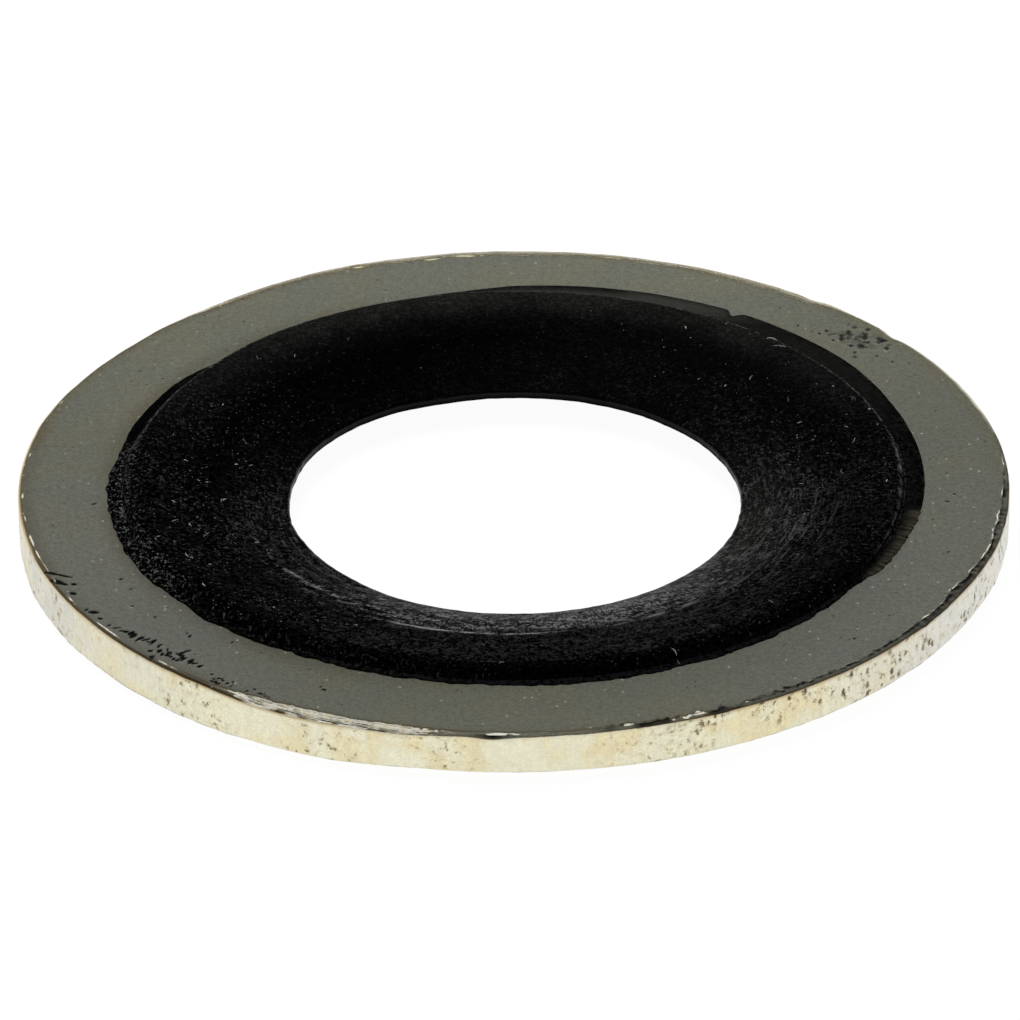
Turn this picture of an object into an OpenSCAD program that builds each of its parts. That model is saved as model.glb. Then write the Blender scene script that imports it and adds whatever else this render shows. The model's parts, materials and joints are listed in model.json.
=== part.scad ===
// Drain plug gasket: a blanked steel washer with a rubber seal moulded into its hole.
// Millimetres. The axis is +Z, and the seal's lower crest lies on z = 0.

/* [Steel washer] */
// Outside diameter of the washer
washer_od = 24.6; // [22:0.1:34]
// Diameter of the punched hole that the rubber is bonded into
hole_d = 18.5; // [16:0.1:20.5]
// Thickness of the sheet steel
washer_t = 1.06; // [0.6:0.02:2]
// Width of the rolled rim that blanking leaves round the upper face
roll_w = 0.25; // [0.05:0.01:0.5]
// Depth of the rolled rim below the upper face
roll_d = 0.08; // [0.02:0.01:0.2]
// Height of the torn band at the foot of the blanked edge
tear_h = 0.3; // [0.1:0.01:0.5]
// Distance that the torn band draws in at its foot
tear_in = 0.04; // [0.01:0.01:0.15]

/* [Rubber seal] */
// Bore of the lip, which grips the plug's thread
bore_d = 11.3; // [8:0.1:13.5]
// Thickness of the lip at the bore
lip_t = 0.26; // [0.12:0.02:0.7]
// Radius of the lip's two corners at the bore
lip_corner_r = 0.08; // [0.02:0.01:0.2]
// Width of the steeper lip around the bore
lip_w = 1.6; // [0.6:0.1:2.6]
// Thickness of the rubber at the lip's root
lip_root_t = 0.9; // [0.76:0.02:1.4]
// Step that the mould's core leaves at the lip's root
core_step = 0.03; // [0.01:0.01:0.08]
// Height by which the dish bows above a straight cone
dish_bow = 0.03; // [0.01:0.01:0.08]
// Height of the sealing crests above the steel's faces
crest_h = 0.3; // [0.16:0.02:0.6]
// Width of the flat land along each crest
crest_land_w = 0.2; // [0.1:0.02:0.5]
// Radius of the bead's outer shoulder
shoulder_r = 0.23; // [0.05:0.01:0.4]
// Distance that the bead laps over the steel's faces
lap_w = 0.48; // [0.45:0.02:0.7]

/* [Moulding flash] */
// Width of the skirt of flash around each bead
skirt_w = 0.2; // [0.05:0.01:0.35]
// Thickness of the skirt at its outer edge
skirt_edge_t = 0.03; // [0.01:0.01:0.05]
// Thickness of the skirt where it leaves the bead
skirt_root_t = 0.07; // [0.06:0.01:0.12]
// Width of the stray film past the bead, where it is widest
film_w = 0.81; // [0.3:0.01:1.1]
// Direction of the film's widest place, anticlockwise from +X
film_angle = 48; // [0:1:359]
// Thickness of the stray film on the upper face
film_t = 0.05; // [0.02:0.005:0.055]

/* [Hidden] */

$fn = 180;
arc_steps = 6;
dish_steps = 10;

steel_colour = [0.63, 0.61, 0.48];
rubber_colour = [0.05, 0.05, 0.055];

washer_r = washer_od / 2;
bond_r = hole_d / 2;
bore_r = bore_d / 2;

half_t = washer_t / 2;
middle_z = crest_h + half_t;

bead_r = bond_r + lap_w;
shoulder = min(shoulder_r, crest_h - skirt_root_t);
land_out_r = bead_r - shoulder;
land_in_r = land_out_r - crest_land_w;
crest_top = half_t + crest_h;

lip_root_r = bore_r + lip_w;
lip_corner = min(lip_corner_r, 0.4 * lip_t);
lip_slope = atan2(lip_root_t / 2 - lip_t / 2, lip_w);

// Points of a circle's arc, angles in degrees
function arc(centre, r, from, to, steps) =
    [for (i = [0:steps]) let (a = from + (to - from) * i / steps) centre + r * [cos(a), sin(a)]];

// Points of the shallow arc from a to b that stands `rise` above the chord at its middle
function bow(a, b, rise, steps) =
    let (
        chord = b - a,
        half = norm(chord) / 2,
        r = (half * half + rise * rise) / (2 * rise),
        up = [-chord.y, chord.x] / norm(chord),
        centre = (a + b) / 2 + (rise - r) * up,
        from = atan2(a.y - centre.y, a.x - centre.x),
        to = atan2(b.y - centre.y, b.x - centre.x)
    )
    arc(centre, r, from, to, steps);

function mirrored(points) = [for (i = [len(points) - 1:-1:0]) [points[i].x, -points[i].y]];

// Radial section of the washer, with its lower face on y = 0
function washer_section() =
    let (
        roll_r = (roll_w * roll_w + roll_d * roll_d) / (2 * roll_d),
        roll_centre = [washer_r - roll_w, washer_t - roll_r],
        roll_foot = atan2(roll_r - roll_d, roll_w)
    )
    concat(
        [[bond_r, 0], [washer_r - tear_in, 0], [washer_r, tear_h]],
        arc(roll_centre, roll_r, roll_foot, 90, arc_steps),
        [[bond_r, washer_t]]
    );

// Upper half of the seal's section, from the bore to the bond, with the middle plane on y = 0
function seal_half_section() =
    let (
        corner_centre = [bore_r + lip_corner, lip_t / 2 - lip_corner],
        lip_end = [lip_root_r - core_step, lip_root_t / 2],
        step_top = [lip_root_r, lip_root_t / 2 + core_step],
        shoulder_centre = [land_out_r, crest_top - shoulder]
    )
    concat(
        arc(corner_centre, lip_corner, 180, 90 + lip_slope, arc_steps),
        [lip_end],
        bow(step_top, [land_in_r, crest_top], dish_bow, dish_steps),
        arc(shoulder_centre, shoulder, 90, 0, arc_steps),
        [
            [bead_r, half_t + skirt_root_t],
            [bead_r + skirt_w, half_t + skirt_edge_t],
            [bead_r + skirt_w, half_t],
            [bond_r, half_t]
        ]
    );

// Film of rubber that crept out under the mould on one side, seen from above as a crescent
module stray_film() {
    difference() {
        translate(film_w * [cos(film_angle), sin(film_angle)])
            cylinder(r = bead_r, h = film_t);
        translate([0, 0, -film_t])
            cylinder(r = land_out_r, h = 3 * film_t);
    }
}

module steel_washer() {
    color(steel_colour)
        translate([0, 0, crest_h])
            rotate_extrude()
                polygon(washer_section());
}

module rubber_seal() {
    upper = seal_half_section();
    color(rubber_colour)
        translate([0, 0, middle_z])
            union() {
                rotate_extrude()
                    polygon(concat(upper, mirrored(upper)));
                translate([0, 0, half_t])
                    stray_film();
            }
}

steel_washer();
rubber_seal();
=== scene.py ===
"""Finishes the drain plug gasket: a plated steel washer with a rubber seal moulded into its hole.

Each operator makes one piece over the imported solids. Shapes are worked out in millimetres about the bore's
axis, with angles from +X, and are turned into metres when the mesh is made. The finishes count in
millimetres too.
"""

import json
import math
from types import SimpleNamespace

import bpy
import numpy as np
from mathutils import Matrix, Vector


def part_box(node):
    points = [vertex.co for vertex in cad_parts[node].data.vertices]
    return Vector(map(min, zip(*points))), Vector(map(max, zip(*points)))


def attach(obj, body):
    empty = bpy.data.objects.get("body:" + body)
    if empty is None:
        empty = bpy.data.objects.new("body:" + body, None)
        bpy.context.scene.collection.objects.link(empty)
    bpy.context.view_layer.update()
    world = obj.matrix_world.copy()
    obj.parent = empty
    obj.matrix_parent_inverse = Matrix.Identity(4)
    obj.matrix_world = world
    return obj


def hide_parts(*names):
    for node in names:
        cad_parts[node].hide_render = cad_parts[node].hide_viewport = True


bl_info = {
    "name": "Drain Plug Gasket",
    "version": (1, 0, 0),
    "blender": (4, 5, 0),
    "location": "View3D > Sidebar > Gasket",
    "description": "Makes a drain plug gasket with its plating, moulded rubber, flash and wear",
    "category": "Object",
}

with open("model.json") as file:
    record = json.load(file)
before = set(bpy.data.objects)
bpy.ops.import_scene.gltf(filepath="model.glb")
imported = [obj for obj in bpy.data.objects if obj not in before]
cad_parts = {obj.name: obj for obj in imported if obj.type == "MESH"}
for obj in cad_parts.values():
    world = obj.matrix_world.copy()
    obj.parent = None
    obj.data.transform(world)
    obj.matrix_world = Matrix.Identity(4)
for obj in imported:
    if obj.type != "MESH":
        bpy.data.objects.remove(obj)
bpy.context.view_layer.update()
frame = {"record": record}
WASHER_LOW, WASHER_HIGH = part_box("steel_washer")
MOUNTS = {mount["name"]: mount for mount in frame["record"]["mounts"]}

MM = 0.001


def length(name, description, millimetres):
    """A length property, given in millimetres."""
    return bpy.props.FloatProperty(
        name=name, description=description, default=millimetres * MM, min=0, precision=5, unit="LENGTH"
    )


def angle(name, description, degrees):
    """An angle property, given in degrees."""
    return bpy.props.FloatProperty(
        name=name, description=description, default=math.radians(degrees), subtype="ANGLE", unit="ROTATION"
    )


def share(name, description, value, most=1.0):
    """A plain number property from nothing to `most`."""
    return bpy.props.FloatProperty(name=name, description=description, default=value, min=0, max=most)


def colour(name, description, rgb):
    """A colour property, in linear light."""
    return bpy.props.FloatVectorProperty(
        name=name, description=description, default=rgb, min=0, max=1, size=3, subtype="COLOR"
    )


class GasketWasher(bpy.types.PropertyGroup):
    """Sizes and colours of the steel washer."""

    outer_radius: length("Outer radius", "Half of the washer's outside diameter", WASHER_HIGH.x / MM)
    hole_radius: length("Hole radius", "Half of the punched hole's diameter", 9.25)
    low: length("Lower face", "Height of the lower face above the seal's lower crest", WASHER_LOW.z / MM)
    high: length("Upper face", "Height of the upper face above the seal's lower crest", WASHER_HIGH.z / MM)
    roll_width: length("Roll width", "Width of the rim that blanking rolled over", 0.12)
    roll_depth: length("Roll depth", "Depth of the rolled rim at the edge", 0.05)
    tear_height: length("Tear height", "Height of the torn band at the edge's foot", 0.3)
    tear_in: length("Tear draw", "How far the torn band draws in at its foot", 0.03)
    foot_burr: length("Foot burr", "Height of the burr under the near left of the rim", 0.12)
    face_colour: colour("Face plating", "Zinc plate with passivate on the faces", (0.70, 0.715, 0.575))
    edge_colour: colour("Edge plating", "Brighter plating on the blanked edge", (0.86, 0.83, 0.63))
    gold_colour: colour("Yellow passivate", "Yellow patches of thicker passivate", (0.84, 0.755, 0.49))
    pale_colour: colour("Pale passivate", "Lilac bloom of thin passivate", (0.68, 0.67, 0.585))
    stain_colour: colour("Stain", "Brown stain along the rim and beside the rubber", (0.31, 0.20, 0.065))
    # Painted glints: the pale colour laid along the rim in place of the light it mirrors
    painted_glint_colour: colour("Bright metal", "Rubbed high spots along the rim", (0.93, 0.90, 0.78))
    # Also the black of the painted shade along the rim
    smut_and_shade_colour: colour("Smut", "Black smut in nicks and pits", (0.012, 0.011, 0.009))
    roughness: share("Roughness", "Roughness of the plating", 0.33)
    metal: share("Metal", "How much of the light the plating mirrors rather than scatters", 0.85)


class GasketSeal(bpy.types.PropertyGroup):
    """Sizes and colours of the rubber seal."""

    bore_radius: length("Bore radius", "Half of the lip's bore", MOUNTS["bore"]["dims"]["r_mm"])
    lip_thickness: length("Lip thickness", "Thickness of the lip at the bore", 0.26)
    lip_corner: length("Lip corner", "Radius of the lip's corners at the bore", 0.08)
    lip_width: length("Lip width", "Width of the smoother lip around the bore", 1.6)
    lip_slope: angle("Lip slope", "Rise of the lip at the bore, easing outwards", 13.3)
    crest_height: length("Crest height", "Height of the crests above the steel's faces", WASHER_LOW.z / MM)
    land_width: length("Land width", "Width of the flat land along each crest", 0.2)
    shoulder_radius: length("Shoulder radius", "Radius of the bead's outer shoulder", 0.23)
    lap: length("Lap", "How far the bead laps over the steel's faces", 0.48)
    flash_thickness: length("Flash thickness", "Thickness of the flash on the steel's faces", 0.05)
    lint_count: bpy.props.IntProperty(
        name="Lint", description="Flakes of dust and lint on the rubber", default=190, min=0
    )
    flash_share: share("Flash", "How much of the flash the mould has left", 1.0, 1.5)
    rubber_colour: colour(
        "Rubber", "Black of the moulded rubber, at the crests of its grain", (0.0045, 0.0045, 0.0048)
    )
    film_colour: colour("Thin film", "Brown of the flash where it is thin", (0.05, 0.044, 0.031))
    dust_colour: colour("Dust", "Pale dust caught in the rubber's grain", (0.10, 0.10, 0.105))
    roughness: share("Roughness", "Roughness of the grained rubber", 0.14)
    lip_roughness: share("Lip roughness", "Roughness of the smoother lip at the bore", 0.1)
    gloss: share("Gloss", "Strength of the rubber's reflections", 0.2)


class GasketStage(bpy.types.PropertyGroup):
    """Camera, floor and light."""

    elevation: angle("Elevation", "Height of the camera over the washer's face", 29.46)
    roll: angle("Roll", "Turn of the camera about its own axis", -0.43)
    distance: length("Distance", "Distance from the camera to the gasket", 400)
    view_width: length("View width", "Width of the picture at the gasket", 25.37)
    aim_right: length("Aim right", "How far the washer's centre lies right of the picture's centre", 0.08)
    aim_up: length("Aim up", "How far the washer's centre lies above the picture's centre", 0.594)
    floor_colour: colour("Floor", "White of the table", (0.9, 0.9, 0.9))
    lamp_power: share("Lamp", "Power of the soft lamp overhead, in watts", 7.0, 50.0)


class Socket:
    """A value in a node tree. Arithmetic on it adds Math nodes, so that a finish reads as a formula."""

    def __init__(self, finish, output):
        self.finish = finish
        self.output = output

    def other(self, name):
        """Another output of the same node."""
        return Socket(self.finish, self.output.node.outputs[name])

    def math(self, operation, *terms):
        return self.finish.node("ShaderNodeMath", {"operation": operation}, dict(enumerate(terms)))

    def __add__(self, term):
        return self.math("ADD", self, term)

    def __radd__(self, term):
        return self.math("ADD", term, self)

    def __sub__(self, term):
        return self.math("SUBTRACT", self, term)

    def __rsub__(self, term):
        return self.math("SUBTRACT", term, self)

    def __mul__(self, term):
        return self.math("MULTIPLY", self, term)

    def __rmul__(self, term):
        return self.math("MULTIPLY", term, self)

    def __truediv__(self, term):
        return self.math("DIVIDE", self, term)

    def __gt__(self, term):
        return self.math("GREATER_THAN", self, term)

    def __lt__(self, term):
        return self.math("LESS_THAN", self, term)

    def __abs__(self):
        return self.math("ABSOLUTE", self)

    def root(self):
        return self.math("SQRT", self)

    def most(self, term):
        return self.math("MAXIMUM", self, term)

    def least(self, term):
        return self.math("MINIMUM", self, term)


class Finish:
    """The node tree of a material or of the world, and the few kinds of node that the finishes use."""

    def __init__(self, owner):
        owner.use_nodes = True
        self.tree = owner.node_tree
        self.tree.nodes.clear()

    def node(self, kind, settings=None, sockets=None, output=0):
        """Adds a node, sets it up, feeds its sockets with values or links, and gives one output."""
        made = self.tree.nodes.new(kind)
        for name, value in (settings or {}).items():
            if name == "stops":
                self.set_stops(made.color_ramp, value)
            else:
                setattr(made, name, value)
        for key, value in (sockets or {}).items():
            if isinstance(value, Socket):
                self.tree.links.new(value.output, made.inputs[key])
            else:
                made.inputs[key].default_value = value
        return Socket(self, made.outputs[output]) if made.outputs else None

    @staticmethod
    def set_stops(ramp, stops):
        while len(ramp.elements) < len(stops):
            ramp.elements.new(1.0)
        for element, (position, shade) in zip(ramp.elements, stops):
            element.position = position
            element.color = (*shade, 1.0)

    def place(self):
        """The point on the surface, in millimetres."""
        point = self.node("ShaderNodeTexCoord", output="Object")
        return self.node("ShaderNodeVectorMath", {"operation": "SCALE"}, {0: point, "Scale": 1 / MM})

    def split(self, vector):
        x = self.node("ShaderNodeSeparateXYZ", None, {0: vector})
        return x, x.other("Y"), x.other("Z")

    def join(self, x, y, z):
        return self.node("ShaderNodeCombineXYZ", None, {0: x, 1: y, 2: z})

    def noise(self, vector, scale, detail=2.0, roughness=0.5):
        sockets = {"Vector": vector, "Scale": scale, "Detail": detail, "Roughness": roughness}
        return self.node("ShaderNodeTexNoise", None, sockets)

    def cells(self, vector, scale, flat=False):
        """The distance to the nearest of scattered points, and a random number for each point."""
        settings = {"feature": "F1", "voronoi_dimensions": "2D" if flat else "3D"}
        near = self.node("ShaderNodeTexVoronoi", settings, {"Vector": vector, "Scale": scale})
        return near, self.node("ShaderNodeSeparateColor", None, {0: near.other("Color")})

    def fade(self, value, start, stop, low=0.0, high=1.0):
        """`low` at start and `high` at stop, with a smooth change between."""
        sockets = {"Value": value, 1: start, 2: stop, 3: low, 4: high}
        return self.node("ShaderNodeMapRange", {"interpolation_type": "SMOOTHSTEP"}, sockets)

    def mask(self, name):
        """A mask that the mesh carries."""
        return self.node("ShaderNodeAttribute", {"attribute_name": name}, None, "Fac")

    def mix(self, factor, a, b, blend="MIX"):
        settings = {"data_type": "RGBA", "blend_type": blend}
        return self.node("ShaderNodeMix", settings, {0: factor, 6: a, 7: b}, 2)

    def coats(self, base, *coats):
        """Lays coats over a base, each given by how much it covers and its colour."""
        for cover, shade in coats:
            base = self.mix(cover, base, shade if isinstance(shade, Socket) else opaque(shade))
        return base

    def toned(self, shade, tone):
        """A colour made lighter or darker by a number."""
        return self.mix(1.0, shade, self.join(tone, tone, tone), "MULTIPLY")

    def bump(self, height, depth):
        return self.node("ShaderNodeBump", None, {"Strength": 1.0, "Distance": depth, "Height": height})

    def surface(self, shader):
        self.node("ShaderNodeOutputMaterial", None, {"Surface": shader})


def opaque(rgb):
    """A colour as the sockets take it."""
    return (*rgb, 1.0)


def eased(part):
    """A number from 0 to 1 with a smooth start and end."""
    return part * part * (3 - 2 * part)


def ramp(value, start, width):
    """0 up to the start, then a straight rise to 1 over the width."""
    return np.clip((value - start) / width, 0, 1)


def hump(value, middle, width):
    """A bell of height 1."""
    return np.exp(-(((value - middle) / width) ** 2))


def sector(theta, start, stop, soft):
    """1 from start to stop, in degrees, and 0 beyond the soft ends."""
    middle, half = math.radians(start + stop) / 2, math.radians(stop - start) / 2
    off = np.abs((theta - middle + np.pi) % (2 * np.pi) - np.pi)
    return eased(np.clip(1 - (off - half) / math.radians(soft), 0, 1))


def plane_noise(x, y, seed, wrap=None):
    """Smooth noise from -1 to 1 over a plane, with features about one unit across; x can wrap around."""
    column, row = np.floor(x).astype(np.int64), np.floor(y).astype(np.int64)
    u, v = eased(x - column), eased(y - row)

    def corner(right, up):
        at = column + right if wrap is None else (column + right) % wrap
        key = at * 374761393 + (row + up) * 668265263 + seed * 982451653
        key = (key ^ (key >> 13)) * 1274126177
        return ((key ^ (key >> 16)) & 0xFFFF) / 32767.5 - 1

    lower = corner(0, 0) * (1 - u) + corner(1, 0) * u
    upper = corner(0, 1) * (1 - u) + corner(1, 1) * u
    return lower * (1 - v) + upper * v


def grain(radius, theta, feature, seed):
    """Noise over the ring, with round features of the given size."""
    return plane_noise(radius * np.cos(theta) / feature, radius * np.sin(theta) / feature, seed)


def streaks(radius, theta, count, width, seed):
    """Noise drawn out along the ring: `count` features around it, each of the given width."""
    return plane_noise(theta * count / (2 * np.pi), radius / width, seed, count)


class Circle:
    """A circle about the axis, with functions of the angle around it."""

    def __init__(self, theta, radius):
        self.theta = theta
        self.degrees = np.degrees(theta)
        self.radius = np.full_like(theta, radius)

    def sector(self, start, stop, soft):
        return sector(self.theta, start, stop, soft)

    def spot(self, middle, width):
        """A bell about one angle, in degrees."""
        return hump(self.degrees, middle, width)

    def grain(self, feature, seed):
        return grain(self.radius, self.theta, feature, seed)

    def patches(self, feature, seed, level, swing):
        """Noise that swings about a level, kept from 0 to 1."""
        return np.clip(level + swing * self.grain(feature, seed), 0, 1)


def turns(count, dense=()):
    """Angles once around, three times closer together in the dense sectors."""
    fine = np.linspace(0, 2 * np.pi, 7201)
    weight = 1 + 2 * sum(sector(fine, start, stop, 2) for start, stop in dense) + 0 * fine
    run = np.concatenate([[0], np.cumsum((weight[1:] + weight[:-1]) / 2)])
    return np.interp(np.arange(count) * run[-1] / count, run, fine)


def on_ring(degrees, radius):
    """A point of the plane, given by its angle and its distance from the axis."""
    return radius * np.array([math.cos(math.radians(degrees)), math.sin(math.radians(degrees))])


def add_piece(name, points, faces, material, masks=None):
    """Links a smooth mesh, given in millimetres, that rides with the gasket."""
    mesh = bpy.data.meshes.new(name)
    mesh.from_pydata((points * MM).tolist(), [], faces)
    for mask, values in (masks or {}).items():
        layer = mesh.attributes.new(mask, "FLOAT", "POINT")
        layer.data.foreach_set("value", values.astype(np.float32).ravel())
    mesh.shade_smooth()
    mesh.materials.append(material)
    piece = bpy.data.objects.new(name, mesh)
    bpy.context.scene.collection.objects.link(piece)
    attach(piece, "root")
    return piece


def ring_piece(name, rows, theta, material, masks):
    """A closed ring of quads from rows of radius and height, each row running once around."""
    radius, height = rows
    points = np.stack([radius * np.cos(theta), radius * np.sin(theta), height], axis=-1).reshape(-1, 3)
    row, column = np.mgrid[0 : radius.shape[0], 0 : radius.shape[1]]
    next_row, next_column = (row + 1) % radius.shape[0], (column + 1) % radius.shape[1]
    corners = [(row, column), (next_row, column), (next_row, next_column), (row, next_column)]
    quads = np.stack([r * radius.shape[1] + c for r, c in corners], axis=-1).reshape(-1, 4)
    return add_piece(name, points, quads.tolist(), material, masks)


# Washer

WASHER_COLUMNS = 1280
WASHER_SEED = 12
WASHER_MASKS = ("edge", "smut", "scuff", "corner", "dark_rim", "glint")
# Sectors with the nicks, the smudge and the battered rim
WORN_SECTORS = [(196, 262), (31, 49), (279, 362)]
# Rows of the upper face: one under the rubber, then the plain part, then the part that holds the marks
UNDER_RUBBER, PLAIN_FROM, MARKED_FROM = 9.6, 9.72, 10.8
PLAIN_ROWS, MARKED_ROWS, TORN_ROWS = 10, 35, 5
# Rows of the edge, as shares of its height, and of the foot, by their distance from the edge
EDGE_ROWS = (0.02, 0.07, 0.16, 0.27, 0.38, 0.49, 0.6, 0.7, 0.8, 0.9, 1.0)
FOOT_ROWS = (0.015, 0.08, 0.3, 1.0, 1.9, 2.9)
FOOT_BURR = (1.0, 0.25, 0, 0, 0, 0)

# Long slashes on the upper face: from and to, in degrees and millimetres, then the width
SLASHES = [
    ((199.6, 12.28), (201.0, 11.98), 0.055),
    ((200.4, 12.10), (202.1, 11.74), 0.045),
    ((201.6, 12.26), (203.2, 12.05), 0.09),
    ((202.2, 12.20), (203.6, 11.98), 0.06),
    ((203.4, 11.88), (203.9, 11.78), 0.065),
    ((205.3, 12.08), (206.0, 11.98), 0.07),
]
# Trails of short nicks: from and to, then count, spread, length, direction from +X and width
NICK_TRAILS = [
    ((209.8, 12.06), (216.5, 11.95), 6, 0.04, 0.28, 24, 0.07),
    ((216.5, 11.90), (221.6, 11.66), 13, 0.07, 0.26, 30, 0.07),
    ((222.6, 11.85), (226.0, 11.72), 20, 0.16, 0.22, 38, 0.06),
    ((226.0, 11.72), (229.2, 11.66), 10, 0.08, 0.22, 44, 0.05),
    ((231.5, 11.96), (235.0, 11.90), 13, 0.08, 0.12, 20, 0.05),
    ((237.2, 11.90), (240.2, 11.92), 8, 0.04, 0.14, 12, 0.05),
    ((222.0, 10.80), (222.9, 10.84), 3, 0.02, 0.14, 10, 0.05),
    ((244.4, 11.00), (245.2, 11.06), 3, 0.03, 0.14, 15, 0.05),
]
# Spread of the nicks along their trail and of their direction, both in degrees
NICK_SPREAD, NICK_TURN = 0.3, 26
# Smudge of soft dots: middle in degrees and millimetres, count, spread, darkness and size
SMUDGES = [
    ((42.6, 11.44), 20, 0.25, 0.72, 1),
    ((38.8, 11.38), 36, 0.3, 0.72, 1),
    ((40.6, 11.4), 9, 0.3, 0.4, 3),
]
# Single pits of the upper face, in degrees and millimetres
PITS = [
    (184, 10.43), (191, 11.02), (205, 10.72), (208, 10.73), (212, 11.08), (216, 10.92), (228, 10.36),
    (317, 11.34), (342, 11.25), (357, 10.94), (355, 10.8), (165, 11.85), (170, 11.58), (147, 11.2),
    (42.4, 10.96), (45, 10.95), (48.6, 10.9), (35.5, 11.26), (33.1, 11.42), (28.5, 11.5), (25.8, 11.4),
]
PIT_RUN, PIT_WIDTH = (0.05, 0.02), 0.045

# Shapes of the rim from the face to the edge: shares of the roll's width, then of its depth
ROLLED = [(t, t * t) for t in np.linspace(0, 1, 9)[1:]]
BURRED = [
    (0.02, 0.06), (0.04, 0.3), (0.06, 0.52), (0.12, 0.57),
    (0.4, 0.62), (0.75, 0.7), (0.93, 0.82), (1, 1),
]
STEPPED = [
    (0.02, 0.05), (0.04, 0.2), (0.06, 0.34), (0.45, 0.4),
    (0.47, 0.55), (0.49, 0.7), (0.95, 0.78), (1, 1),
]
# How much painted glint each of these rows takes, and how much painted shade
BURRED_RISE = (0.5, 1, 1, 0.8, 0.5, 0.2, 0, 0)
BURRED_SHADE = (0.5, 0.9, 1, 1, 0.9, 0.8, 0.8, 0.4)
STEPPED_RISE = (0.2, 0.7, 1.1, 0.95, 0.75, 0.66, 0.64, 0.6)
STEPPED_DASH = (0.3, 1.2, 1.2, 0.6, 0.3, 0.2, 0.1, 0)
STEPPED_SHADE = (0, 0, 0, 0.1, 0.1, 0.1, 0.2, 0.2)
LINED_SHADE = (1, 1, 0.9, 0.75, 0.62, 0.58, 0.6, 0.4)
NICK_RISE = (0, 0.6, 1, 0.7, 0.1, 0, 0, 0)
NICK_SHADE = (0, 0.1, 0.3, 0.7, 1, 1, 0.9, 0.5)

# Tints of the plating, and the gold of its painted glints
WARM_FACE, RIM_FACE, COOL_FACE = (0.74, 0.735, 0.55), (0.74, 0.70, 0.46), (0.70, 0.715, 0.635)
WHITE_EDGE, GOLD_STAIN, GOLD_GLINT = (0.82, 0.82, 0.77), (0.66, 0.48, 0.22), (0.86, 0.76, 0.45)
DUST_SPECK, PIT_HALO, PIT_FLOOR = (0.85, 0.83, 0.74), (0.60, 0.50, 0.27), (0.10, 0.07, 0.035)
PLATING_GRAIN = 0.005


class WasherRim(Circle):
    """The washer's rim: its stretches, its outline, its roll and its torn foot at each angle."""

    def __init__(self, washer, theta):
        self.outer = washer.outer_radius / MM
        super().__init__(theta, self.outer)
        self.thick = (washer.high - washer.low) / MM
        self.near_right = self.sector(283, 360, 6)
        self.near_left = self.sector(240, 256, 10)
        self.burred = self.sector(283, 296, 4)
        self.thin = self.sector(296, 320, 6)
        self.far = self.sector(52, 126, 8)
        self.nick = self.spot(267.5, 1.9)
        self.patchy = self.patches(0.45, 18, 0.65, 1.1)
        self.dashes = self.patches(0.3, 21, 0.45, 1.3)
        self.edge = self.outline()
        self.roll_w, self.roll_d = self.roll(washer)
        self.face_end = self.edge - self.roll_w
        self.tear = washer.tear_height / MM * (1 + 0.35 * self.grain(1.7, 5))
        self.burr = washer.foot_burr / MM * self.sector(196, 244, 16) * (1 + 0.2 * self.grain(0.8, 12))
        self.chip = 0.05 * np.clip(self.grain(0.6, 13) - 0.35, 0, 1) * self.sector(255, 335, 10)

    def outline(self):
        """Radius of the edge, with its flats and bruises."""
        edge = self.radius + 0.014 * self.grain(3.1, 1) + 0.008 * self.grain(0.7, 2)
        edge += 0.035 * self.sector(41, 49, 3) - 0.06 * self.spot(51.5, 1.3) - 0.07 * self.spot(38.4, 1.6)
        return edge + 0.04 * self.sector(-14, 34, 12) - 0.13 * self.sector(129, 143, 20)

    def roll(self, washer):
        """Width and depth of the rolled rim."""
        uneven = 1 + 0.25 * self.grain(1.3, 3) + 0.15 * self.grain(0.4, 4)
        wider = 0.9 * self.near_right + 1.5 * self.far - 0.3 * self.thin
        wider = wider - 0.4 * self.sector(140, 232, 8) - 0.35 * self.sector(340, 372, 8)
        ragged = 0.2 * self.grain(0.9, 19) + (0.1 + 0.3 * self.sector(238, 308, 8)) * self.grain(0.11, 20)
        width = washer.roll_width / MM * (1 + wider) * uneven * (1 + self.near_right * ragged)
        width = width + 0.09 * self.near_left * (1 + ragged) + 0.05 * self.nick
        depth = washer.roll_depth / MM * (1 - 0.35 * self.near_right - 0.2 * self.far) * uneven
        return width, depth + 0.1 * self.near_left + 0.07 * self.nick


def stroke_mask(x, y, strokes):
    """How dark each point is under short strokes, each given by its ends, half width and darkness."""
    dark = np.zeros_like(x)
    for start, stop, width, depth in strokes:
        middle, run = (start + stop) / 2, (stop - start) / 2
        reach = np.hypot(*run) + 1e-6
        near = np.hypot(x - middle[0], y - middle[1]) < reach + 2 * width
        off_x, off_y = x[near] - middle[0], y[near] - middle[1]
        along = np.clip((off_x * run[0] + off_y * run[1]) / reach**2, -1, 1)
        gap = np.hypot(off_x - along * run[0], off_y - along * run[1])
        taper = width * (1.1 - 0.7 * along**2)
        dark[near] = np.maximum(dark[near], depth * np.clip(1.5 - gap / taper, 0, 1))
    return dark


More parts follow.
